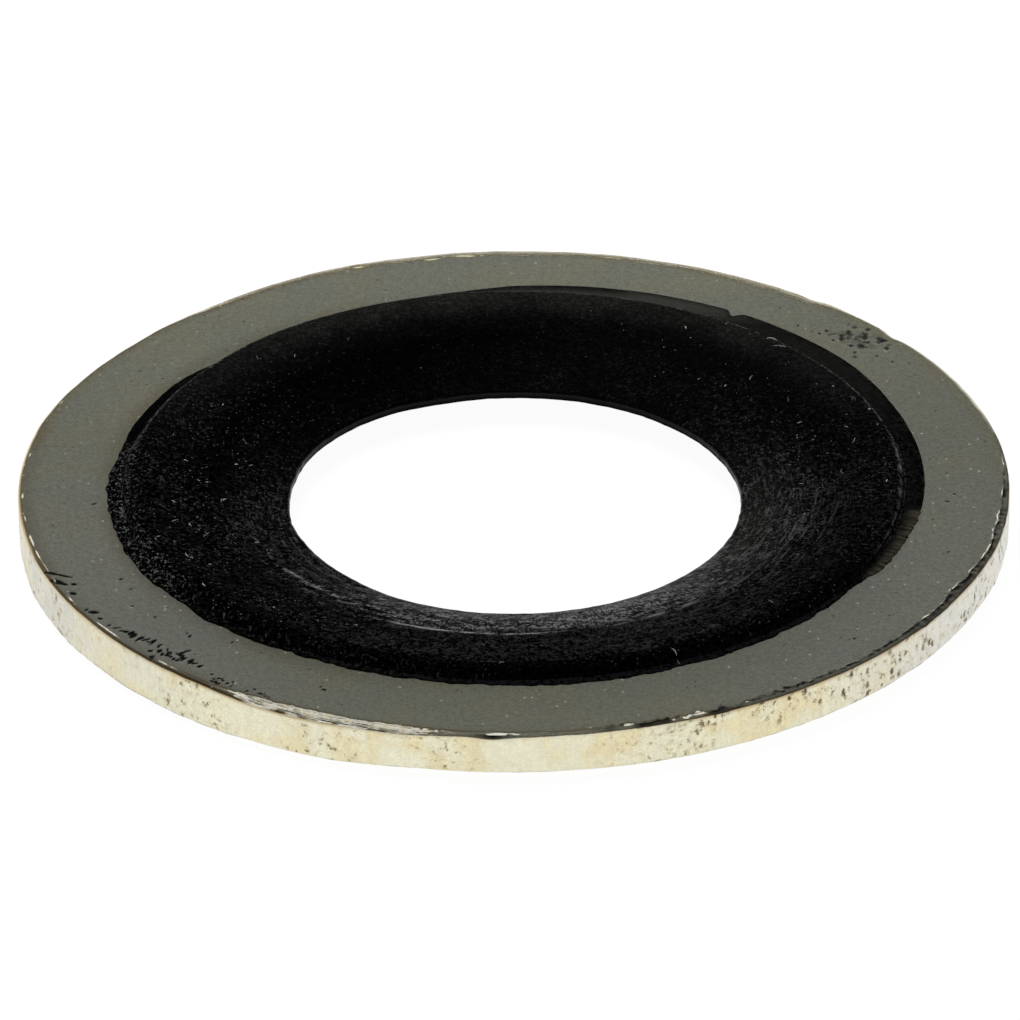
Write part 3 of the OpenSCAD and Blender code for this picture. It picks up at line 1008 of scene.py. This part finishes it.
def rubber_shade(finish, seal, at):
    """Colour of the rubber, from its black to the dust and the flash on it, with painted highlights, light
    and shade.
    """
    x, y, radius = at.x, at.y, at.radius
    # Painted highlights on the lip: pale streaks on its near side where it would mirror the bright sweep, and
    # swirls on the near right; half of the streaks also go into the powder, which is otherwise dust on the
    # back of the dish. The veil lays a lighter grey over the near right of the lip.
    streaked = at.inner * finish.fade(y, 4.0, -2.0) * finish.fade(x, -7.0, 6.0, 0.8, 1.0)
    powder_and_sheen = finish.fade(radius, 8.2, 9.4) * finish.fade(y, 2.0, 9.0) * 0.95 + streaked * 0.5
    swirl = at.right * finish.fade(radius, 8.9, 7.2) * finish.fade(at.worn, 0.5, 0.66)
    veil = at.inner * finish.fade(x, 0.0, 6.0) * finish.fade(y, 4.0, -2.0)
    bloom = finish.fade(at.grit + 0.8 * (at.pores - 0.5), 0.57, 0.72)
    bloom = bloom * finish.fade(at.cloud, 0.4, 0.62, 0.25, 1.0)
    bloom = bloom * (1 - 0.85 * at.far) * (1 - 0.9 * at.matt_rim) * (1 - 0.6 * at.bare)
    moulded = finish.coats(
        opaque(PORE),
        (at.mottle, seal.rubber_colour),
        (powder_and_sheen * finish.fade(at.cloud, 0.25, 0.65, 0.65, 1.0) * at.mottle, POWDER_AND_SHEEN),
        (streaked * finish.fade(at.worn, 0.54, 0.69), LIP_HIGHLIGHT),
        (swirl * 0.7, SWIRL),
        (veil * 0.35, VEIL),
        (bloom * (0.6 + 0.4 * at.lip), BLOOM),
    )
    # Painted light and shade: the rubber lighter at the near right and on the outer dish towards the back,
    # darker on the lip at the far left, with a painted shadow at the near foot of the bead
    tone = 1 + 0.6 * finish.fade(x, 1.0, 7.0) * finish.fade(y, 3.0, -1.0)
    tone = tone + 0.4 * finish.fade(radius, 8.0, 9.2) * finish.fade(y, -3.0, 3.0)
    tone = tone - 0.6 * finish.fade(y - x, 5.0, 9.0) * finish.fade(radius, 8.3, 7.7)
    tone = tone * (1 - 0.6 * finish.fade(radius, 8.9, 9.15) * finish.fade(y, -2.0, -6.0))
    return finish.coats(
        finish.toned(moulded, tone),
        (rubber_dust(finish, at), seal.dust_colour),
        # Painted highlights: the line along the crease, and the sheen along the bead's shoulder
        (at.crease * finish.fade(at.worn, 0.44, 0.55), CREASE_HIGHLIGHT),
        (at.sheen * finish.fade(at.grit, 0.42, 0.6), SHEEN),
        (at.flash * at.mottle * 0.7, FLASH_GRAIN),
        (at.flash * finish.fade(y, 2.5, 6.5) * 0.85, FLASH_SIDE),
        (at.flash * finish.fade(y, 8.0, 9.2) * 0.8, FLASH_BACK),
        # Painted light: the flash on the near side a lighter, bluer grey, as lit from the front
        (at.skirt * finish.fade(at.grit, 0.35, 0.6), SKIRT),
        # Painted highlight on the tips of the grit at the left of the rim
        (at.gritty * finish.fade(at.grit + at.pores, 1.06, 1.28), GRIT_SPARKLE),
        (at.thin * finish.fade(at.rays, 0.32, 0.66, 0.1, 1.0), seal.film_colour),
        # The flash's outer edge is drawn near black, and so is the bore's nose as painted shade
        (at.edge_line.most(at.nose) * 0.9, OUTLINE),
    )


def rubber_finish(seal):
    """Black moulded rubber, grained on the dish and smoother on the lip, with dust in its grain."""
    material = bpy.data.materials.new("moulded_rubber")
    finish = Finish(material)
    at = rubber_patterns(finish, seal)
    shade = rubber_shade(finish, seal, at)
    relief = at.grit * (0.2 - 0.15 * at.lip) + at.pores * 0.05 * (1 - at.lip)
    relief = relief + at.streak * at.inner * at.right * 0.2 + at.peel * (0.3 + 0.6 * at.lip)
    rough = seal.roughness + (seal.lip_roughness - seal.roughness) * at.lip + 0.1 * (at.grit - 0.5)
    normal = finish.bump(relief * (1 - 0.5 * at.flash) * (1 - 0.8 * at.sheen), RUBBER_GRAIN * MM)
    sockets = {
        "Base Color": shade,
        "Roughness": rough + 0.35 * at.flash + 0.35 * at.gritty,
        "Specular IOR Level": seal.gloss,
        "Normal": normal,
    }
    moulded = finish.node("ShaderNodeBsdfPrincipled", None, sockets)
    trimmed = finish.node("ShaderNodeBsdfDiffuse", None, {"Color": shade, "Normal": normal})
    at_bore = finish.fade(at.radius, at.bore + 0.1, at.bore + 0.8, 1.0, 0.0)
    dull = (1 - at.speckle) * (0.5 + 0.4 * at.lip - 0.45 * at_bore) + (1 - at.lip) * 0.55 + at_bore * 0.1
    shoulder = finish.fade(at.radius, 9.3, 9.42) * (1 - finish.fade(at.streak, 0.46, 0.6)) * 0.9
    dull = dull.most(at.nose * 0.9).most(at.matt_rim * 0.92).most(shoulder)
    finish.surface(finish.node("ShaderNodeMixShader", None, {0: dull, 1: moulded, 2: trimmed}))
    return material


class GASKET_OT_seal(bpy.types.Operator):
    """Makes the moulded rubber seal with its flash"""

    bl_idname = "gasket.seal"
    bl_label = "Rubber Seal"

    def execute(self, context):
        seal, washer = context.scene.gasket_seal, context.scene.gasket_washer
        theta, middle = turns(SEAL_COLUMNS), middle_height(washer)
        upper_r, upper_h, upper = seal_half(seal, washer, theta, UPPER)
        lower_r, lower_h, lower = seal_half(seal, washer, theta, LOWER)
        rows = np.vstack([lower_r[::-1], upper_r]), np.vstack([middle - lower_h[::-1], middle + upper_h])
        masks = {name: np.vstack([lower[name][::-1], upper[name]]) for name in SEAL_MASKS}
        piece = ring_piece("rubber_seal_moulded", rows, theta, rubber_finish(seal), masks)
        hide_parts("rubber_seal")
        return {"FINISHED"}


# Lint

LINT_SEED = 5
# Larger flakes that show: degrees, millimetres from the axis and size
FLAKES = [(15, 9.44, 0.10), (20, 9.50, 0.09), (29, 9.20, 0.09), (16, 7.80, 0.11), (17, 7.90, 0.07)]
FLAKES += [(55, 9.44, 0.08), (227, 8.64, 0.09), (319, 9.10, 0.08), (315, 8.90, 0.06), (196, 8.10, 0.07)]
# Fibres: degrees, millimetres from the axis, length and direction from +X
FIBRES = [(46.5, 9.62, 0.42, 2), (44, 9.40, 0.35, -20), (24, 9.35, 0.30, -55), (294, 9.67, 0.40, -62)]
FIBRES += [(315, 8.90, 0.30, -70), (198, 8.00, 0.28, 60), (193, 8.60, 0.22, 40), (205, 8.90, 0.22, 110)]
FIBRES += [(12, 8.70, 0.25, 70), (3, 8.20, 0.25, 100), (268, 9.30, 0.16, 35)]
# The rest gathers at the left and at the right: middle and spread in degrees, and the share at the left
LEFT_LINT, RIGHT_LINT, LEFT_SHARE = (195, 32), (18, 34), 0.55
LINT_REACH, FIBRE_SHARE = (6.6, 9.4), 0.25
# Points around each scrap, and how thick a fibre is along its length
SIDES = 6
FIBRE_TAPER = np.array([0.4, 0.9, 1, 1.1, 1, 0.8, 0.3])
DIRTY_LINT, CLEAN_LINT = (0.06, 0.06, 0.06), (0.42, 0.42, 0.40)
LINT_FUZZ = 0.004


def drape(rows, theta, x, y):
    """Height of the seal's upper surface under points of the plane."""
    radius, height = rows
    around = np.arctan2(y, x) % (2 * np.pi)
    columns = np.searchsorted(theta, around) % len(theta)
    return np.array([np.interp(r, radius[:, c], height[:, c]) for r, c in zip(np.hypot(x, y), columns)])


def tube_faces(rings):
    """Faces of a closed tube with the same number of points on each ring."""
    starts = range(0, (rings - 1) * SIDES, SIDES)
    pairs = [(side, (side + 1) % SIDES) for side in range(SIDES)]
    walls = [(ring + a, ring + b, ring + SIDES + b, ring + SIDES + a) for ring in starts for a, b in pairs]
    return [*walls, tuple(range(SIDES - 1, -1, -1)), tuple(range((rings - 1) * SIDES, rings * SIDES))]


def flake(random, middle, size, ground):
    """A thin scrap with an uneven outline that lies on the ground."""
    turn = np.linspace(0, 2 * np.pi, SIDES + 1)[:-1] + random.uniform(0, 6)
    reach = size / 2 * random.uniform(0.5, 1.1, SIDES)
    flatness = random.uniform(0.4, 1)
    x, y = middle[0] + reach * np.cos(turn), middle[1] + reach * flatness * np.sin(turn)
    low = ground(x, y)
    points = np.vstack([np.column_stack([x, y, low - 0.004]), np.column_stack([x, y, low + 0.35 * size])])
    points[SIDES:, :2] = middle + 0.6 * (points[SIDES:, :2] - middle)
    return points, tube_faces(2)


def fibre(random, middle, length_mm, direction, ground):
    """A bent thread that lies on the ground."""
    rings = len(FIBRE_TAPER)
    along = np.linspace(-0.5, 0.5, rings) * length_mm
    bend = random.normal(0, 0.6) * (along**2 / length_mm - length_mm / 8)
    ahead, aside = on_ring(direction, 1), on_ring(direction + 90, 1)
    path = middle + along[:, None] * ahead + bend[:, None] * aside
    thick = random.uniform(0.010, 0.016) * FIBRE_TAPER
    lift = ground(path[:, 0], path[:, 1]) + 0.008 + random.uniform(0, 0.02) * (along / length_mm + 0.5)
    turn = np.linspace(0, 2 * np.pi, SIDES + 1)[:-1]
    across = thick[:, None] * np.cos(turn)
    points = np.empty((rings, SIDES, 3))
    points[:, :, :2] = path[:, None] + across[:, :, None] * aside
    points[:, :, 2] = lift[:, None] + thick[:, None] * np.sin(turn)
    return points.reshape(-1, 3), tube_faces(rings)


def lint_finish():
    """Greyish white scraps and threads, some dirtier than others."""
    material = bpy.data.materials.new("dust_and_lint")
    finish = Finish(material)
    point = finish.place()
    tone = finish.noise(point, 1.7, 2.0, 0.6)
    fuzz = finish.noise(point, 60.0, 2.0, 0.6)
    sockets = {
        "Base Color": finish.coats(opaque(DIRTY_LINT), (finish.fade(tone, 0.35, 0.65), CLEAN_LINT)),
        "Roughness": 0.7 + 0.2 * fuzz,
        "Normal": finish.bump(fuzz, LINT_FUZZ * MM),
    }
    finish.surface(finish.node("ShaderNodeBsdfPrincipled", None, sockets))
    return material


class GASKET_OT_lint(bpy.types.Operator):
    """Scatters flakes of dust and short fibres over the rubber"""

    bl_idname = "gasket.lint"
    bl_label = "Dust and Lint"

    def execute(self, context):
        seal, washer = context.scene.gasket_seal, context.scene.gasket_washer
        theta, middle = turns(SEAL_COLUMNS), middle_height(washer)
        upper_r, upper_h, _ = seal_half(seal, washer, theta, UPPER)
        rows = upper_r[:-1], middle + upper_h[:-1]

        def ground(x, y):
            return drape(rows, theta, x, y)

        points, faces, count = [], [], 0
        for some_points, some_faces in self.scraps(seal.lint_count, ground):
            faces += [tuple(count + i for i in face) for face in some_faces]
            points.append(some_points)
            count += len(some_points)
        add_piece("dust_and_lint", np.vstack(points), faces, lint_finish())
        return {"FINISHED"}

    def scraps(self, count, ground):
        """Points and faces of every scrap: those that show, then the scattered ones."""
        random = np.random.default_rng(LINT_SEED)
        scraps = [flake(random, on_ring(at, r), size, ground) for at, r, size in FLAKES]
        scraps += [fibre(random, on_ring(at, r), run, turn, ground) for at, r, run, turn in FIBRES]
        for _ in range(count):
            side = LEFT_LINT if random.random() < LEFT_SHARE else RIGHT_LINT
            place = on_ring(random.normal(*side), random.uniform(*LINT_REACH))
            if random.random() < FIBRE_SHARE:
                run, turn = random.uniform(0.08, 0.2), random.uniform(0, 180)
                scraps.append(fibre(random, place, run, turn, ground))
            else:
                scraps.append(flake(random, place, random.uniform(0.02, 0.055), ground))
        return scraps


# Stage

# Brightness of the studio by the height of the direction: the white sweep, which curves up at both sides,
# then the dim room
SKY_STOPS = [
    (0.0, (1.0, 1.0, 1.0)),
    (0.53, (1.0, 1.0, 1.0)),
    (0.548, (0.5, 0.5, 0.5)),
    (0.565, (0.15, 0.15, 0.15)),
    (0.587, (0.025, 0.025, 0.026)),
    (1.0, (0.018, 0.018, 0.019)),
]
# Rise of the sweep to the left and to the right, and where it ends
SWEEP_LEFT, SWEEP_RIGHT, SWEEP_TOP = -0.9, 0.75, 0.13
# How much of the table glows, how bright the glow is, and the table's reach in metres
FLOOR_GLOW, GLOW_STRENGTH, TABLE_REACH = 0.92, 1.04, 4.0
LAMP_PLACE, LAMP_SIZE = (-0.1, 0.15, 0.8), 0.7
SENSOR_WIDTH = 36


def table_finish(stage):
    """White table that glows to the camera and in reflections, and still takes a shadow."""
    material = bpy.data.materials.new("white_table")
    finish = Finish(material)
    ray = finish.node("ShaderNodeLightPath", None, None, "Is Camera Ray")
    seen = ray.most(ray.other("Is Glossy Ray")).most(ray.other("Is Transmission Ray"))
    sheet = finish.node("ShaderNodeBsdfDiffuse", None, {"Color": opaque(stage.floor_colour)})
    glow = finish.node("ShaderNodeEmission", None, {"Color": (1, 1, 1, 1), "Strength": GLOW_STRENGTH})
    finish.surface(finish.node("ShaderNodeMixShader", None, {0: seen * FLOOR_GLOW, 1: sheet, 2: glow}))
    return material


class GASKET_OT_stage(bpy.types.Operator):
    """Sets the table, the light and the camera"""

    bl_idname = "gasket.stage"
    bl_label = "Stage"

    def execute(self, context):
        scene, stage = context.scene, context.scene.gasket_stage
        scene.view_settings.view_transform = "Standard"
        self.add_table(scene, stage)
        self.add_sky(scene)
        self.add_lamp(scene, stage)
        self.add_camera(scene, stage, scene.gasket_washer.high)
        return {"FINISHED"}

    def add_table(self, scene, stage):
        mesh = bpy.data.meshes.new("table")
        corners = [(-1, -1), (1, -1), (1, 1), (-1, 1)]
        mesh.from_pydata([(x * TABLE_REACH, y * TABLE_REACH, 0) for x, y in corners], [], [(0, 1, 2, 3)])
        mesh.materials.append(table_finish(stage))
        table = bpy.data.objects.new("table", mesh)
        scene.collection.objects.link(table)

    def add_sky(self, scene):
        world = bpy.data.worlds.new("studio")
        scene.world = world
        finish = Finish(world)
        direction = finish.node("ShaderNodeTexCoord", output="Generated")
        x, _, z = finish.split(direction)
        sweep = (x * SWEEP_LEFT).most(x * SWEEP_RIGHT).least(SWEEP_TOP)
        height = (z - sweep) * 0.5 + 0.5
        sky = finish.node("ShaderNodeValToRGB", {"stops": SKY_STOPS}, {0: height})
        light = finish.node("ShaderNodeBackground", None, {"Color": sky})
        finish.node("ShaderNodeOutputWorld", None, {"Surface": light})

    def add_lamp(self, scene, stage):
        lamp = bpy.data.lights.new("overhead_softbox", "AREA")
        lamp.shape = "DISK"
        lamp.size = LAMP_SIZE
        lamp.energy = stage.lamp_power
        softbox = bpy.data.objects.new("overhead_softbox", lamp)
        softbox.location = LAMP_PLACE
        softbox.rotation_euler = Vector(LAMP_PLACE).to_track_quat("Z", "Y").to_euler()
        softbox.visible_glossy = False
        scene.collection.objects.link(softbox)

    def add_camera(self, scene, stage, face_height):
        lens = bpy.data.cameras.new("camera")
        lens.sensor_width = SENSOR_WIDTH
        lens.lens = SENSOR_WIDTH * stage.distance / stage.view_width
        camera = bpy.data.objects.new("camera", lens)
        back = Vector((0, -math.cos(stage.elevation), math.sin(stage.elevation)))
        turned = back.to_track_quat("Z", "Y").to_matrix() @ Matrix.Rotation(stage.roll, 3, "Z")
        aim = Vector((0, 0, face_height)) - turned @ Vector((stage.aim_right, stage.aim_up, 0))
        camera.matrix_world = Matrix.Translation(aim + back * stage.distance) @ turned.to_4x4()
        scene.collection.objects.link(camera)
        scene.camera = camera


class GASKET_PT_panel(bpy.types.Panel):
    """Lists the gasket's pieces"""

    bl_idname = "GASKET_PT_panel"
    bl_label = "Drain Plug Gasket"
    bl_space_type = "VIEW_3D"
    bl_region_type = "UI"
    bl_category = "Gasket"

    def draw(self, context):
        for operator in OPERATORS:
            self.layout.operator(operator.bl_idname)
        for name in PROPERTIES:
            group = getattr(context.scene, name)
            box = self.layout.box()
            box.label(text=name.replace("_", " ").title())
            for field in group.bl_rna.properties:
                if field.identifier not in {"name", "rna_type"}:
                    box.prop(group, field.identifier)


OPERATORS = (GASKET_OT_washer, GASKET_OT_seal, GASKET_OT_lint, GASKET_OT_stage)
PROPERTIES = {"gasket_washer": GasketWasher, "gasket_seal": GasketSeal, "gasket_stage": GasketStage}


def register():
    for group in (*PROPERTIES.values(), *OPERATORS, GASKET_PT_panel):
        bpy.utils.register_class(group)
    for name, group in PROPERTIES.items():
        setattr(bpy.types.Scene, name, bpy.props.PointerProperty(type=group))


def unregister():
    for name in PROPERTIES:
        delattr(bpy.types.Scene, name)
    for group in reversed((*PROPERTIES.values(), *OPERATORS, GASKET_PT_panel)):
        bpy.utils.unregister_class(group)


def main():
    """Registers the add-on, then makes every piece and sets the stage."""
    register()
    bpy.ops.gasket.washer()
    bpy.ops.gasket.seal()
    bpy.ops.gasket.lint()
    bpy.ops.gasket.stage()


if __name__ == "__main__":
    main()
